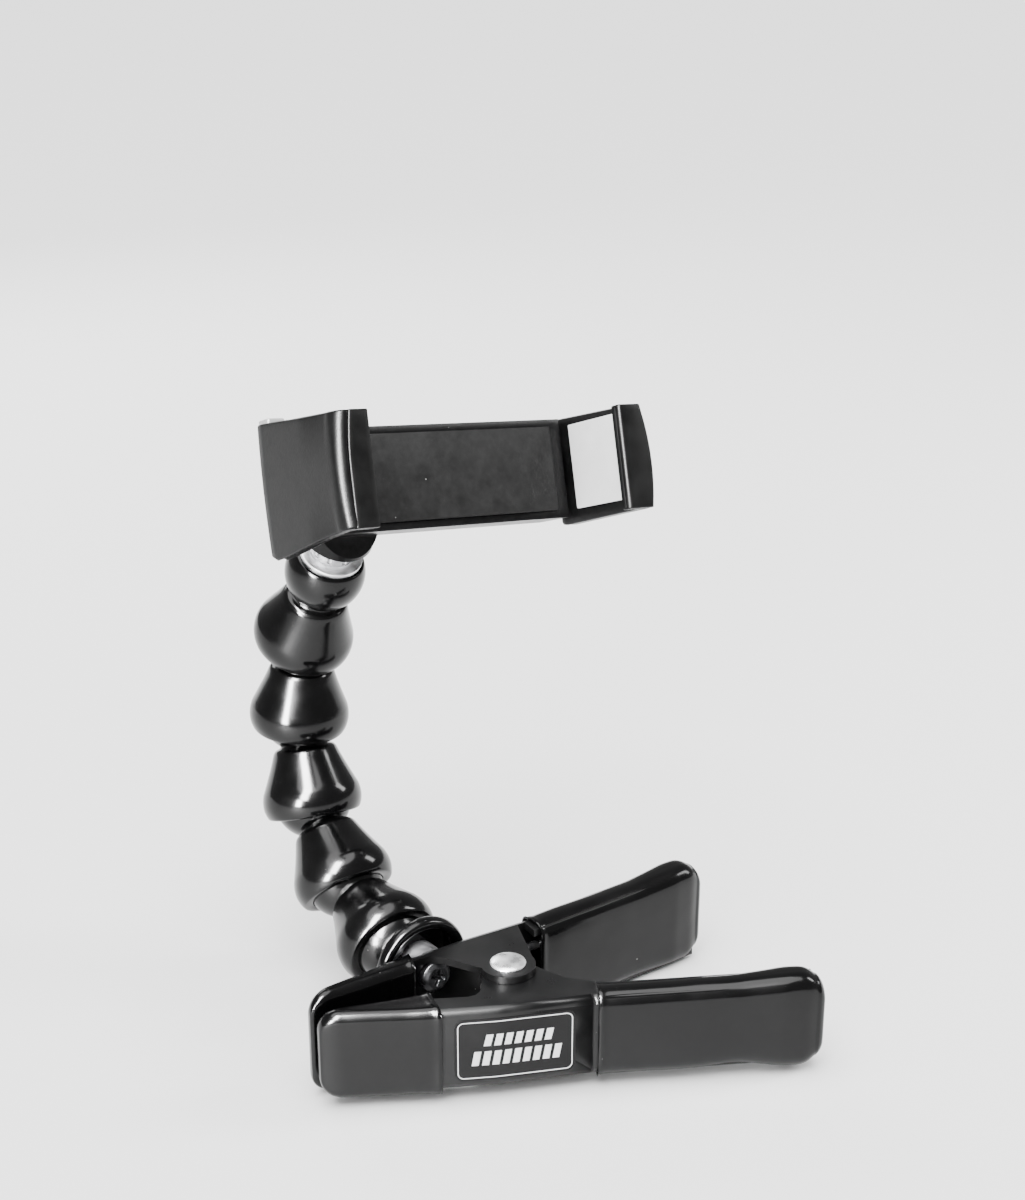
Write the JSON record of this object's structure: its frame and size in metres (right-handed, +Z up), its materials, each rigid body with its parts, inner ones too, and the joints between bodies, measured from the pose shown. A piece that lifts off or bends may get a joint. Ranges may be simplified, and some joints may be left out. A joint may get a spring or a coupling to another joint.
{
  "type": "clamp phone mount",
  "caption": "Spring clamp with a short ball-and-socket arm that carries a sprung phone holder with one sliding jaw",
  "frame": {"origin": "centre of the object's footprint box, on the surface it stands on", "axes": "+Z up, +X from the clamp's jaw tips toward its handles, +Y away from the viewer of the picture, toward the arm's side"},
  "size_m": [0.0976, 0.1034, 0.132],
  "materials": {
    "steel_black": "satin black powder coat",
    "vinyl": "glossy black vinyl dip",
    "rivet_steel": "bright plated",
    "spring_steel": "oiled wire",
    "label": "printed film with a light keyline",
    "link_plastic": "polished moulded black",
    "zinc": "turned, plated",
    "screw_black": "blackened",
    "bright_steel": "ground bright",
    "holder_plastic": "soft-touch fine texture",
    "pad_light": "light grey foam",
    "pad_dark": "ribbed dark rubber",
    "lip_rubber": "dark smooth rubber",
    "tab_light": "light grey moulded"
  },
  "bodies": {
    "clamp_rear": {"rear_half": "steel_black", "rear_jaw_cap": "vinyl", "rear_grip": "vinyl", "pivot_rivet": "rivet_steel", "torsion_spring": "spring_steel", "arm_base": "link_plastic", "base_spacer": "zinc", "base_screw": "screw_black"},
    "clamp_front": {"front_half": "steel_black", "front_jaw_cap": "vinyl", "front_grip": "vinyl", "web_label": "label"},
    "link_1": {"link_1": "link_plastic"},
    "link_2": {"link_2": "link_plastic"},
    "link_3": {"link_3": "link_plastic"},
    "link_4": {"link_4": "link_plastic"},
    "link_5": {"link_5": "link_plastic", "end_washer": "bright_steel", "end_collar": "zinc", "mount_stud": "zinc"},
    "holder": {"holder_body": "holder_plastic", "housing_cover": "holder_plastic", "cover_screws": "screw_black", "left_pad": "pad_light", "back_pad": "pad_dark", "lip_cover_left": "lip_rubber", "side_tab": "tab_light", "guide_rod_upper": "bright_steel", "guide_rod_lower": "bright_steel", "jaw_spring_upper": "spring_steel", "jaw_spring_lower": "spring_steel"},
    "sliding_jaw": {"right_jaw": "holder_plastic", "right_pad": "pad_light", "lip_cover_right": "lip_rubber"}
  },
  "joints": [
    {"name": "jaw_open", "type": "hinge", "parent": "clamp_rear", "child": "clamp_front", "pos_m": [-0.00853, -0.02419, 0.0114], "axis": [0, 0, 1], "range_deg": [0, 26], "stiffness_Nm_per_rad": 1.2, "springref_deg": -45.84, "deforming": ["torsion_spring"]},
    {"name": "ball_1", "type": "hinge", "parent": "clamp_rear", "child": "link_1", "pos_m": [-0.0253, 0.00216, 0.0168], "axis": [0.9639, 0.2405, -0.114], "range_deg": [-45.1, 13.9]},
    {"name": "ball_2", "type": "hinge", "parent": "link_1", "child": "link_2", "pos_m": [-0.02908, 0.01994, 0.02235], "axis": [0.9728, 0.2246, -0.057], "range_deg": [-53.6, 5.4]},
    {"name": "ball_3", "type": "hinge", "parent": "link_2", "child": "link_3", "pos_m": [-0.03151, 0.03373, 0.03519], "axis": [0.9637, 0.2519, -0.0881], "range_deg": [-53.9, 5.1]},
    {"name": "ball_4", "type": "hinge", "parent": "link_3", "child": "link_4", "pos_m": [-0.03176, 0.04084, 0.05281], "axis": [0.9802, 0.1881, -0.0621], "range_deg": [-53.7, 5.3]},
    {"name": "ball_5", "type": "hinge", "parent": "link_4", "child": "link_5", "pos_m": [-0.03036, 0.03979, 0.07173], "axis": [0.9808, 0.1846, -0.0624], "range_deg": [-53.4, 5.6]},
    {"name": "holder_turn", "type": "hinge", "parent": "link_5", "child": "holder", "pos_m": [-0.02624, 0.02632, 0.09662], "axis": [0.144, -0.4709, 0.8704], "range_deg": [-40, 40]},
    {"name": "jaw_slide", "type": "slide", "parent": "holder", "child": "sliding_jaw", "axis": [0.9652, 0.2316, -0.1218], "range_m": [0, 0.018], "stiffness_N_per_m": 220, "springref_m": -0.02, "deforming": ["jaw_spring_upper", "jaw_spring_lower"]}
  ]
}
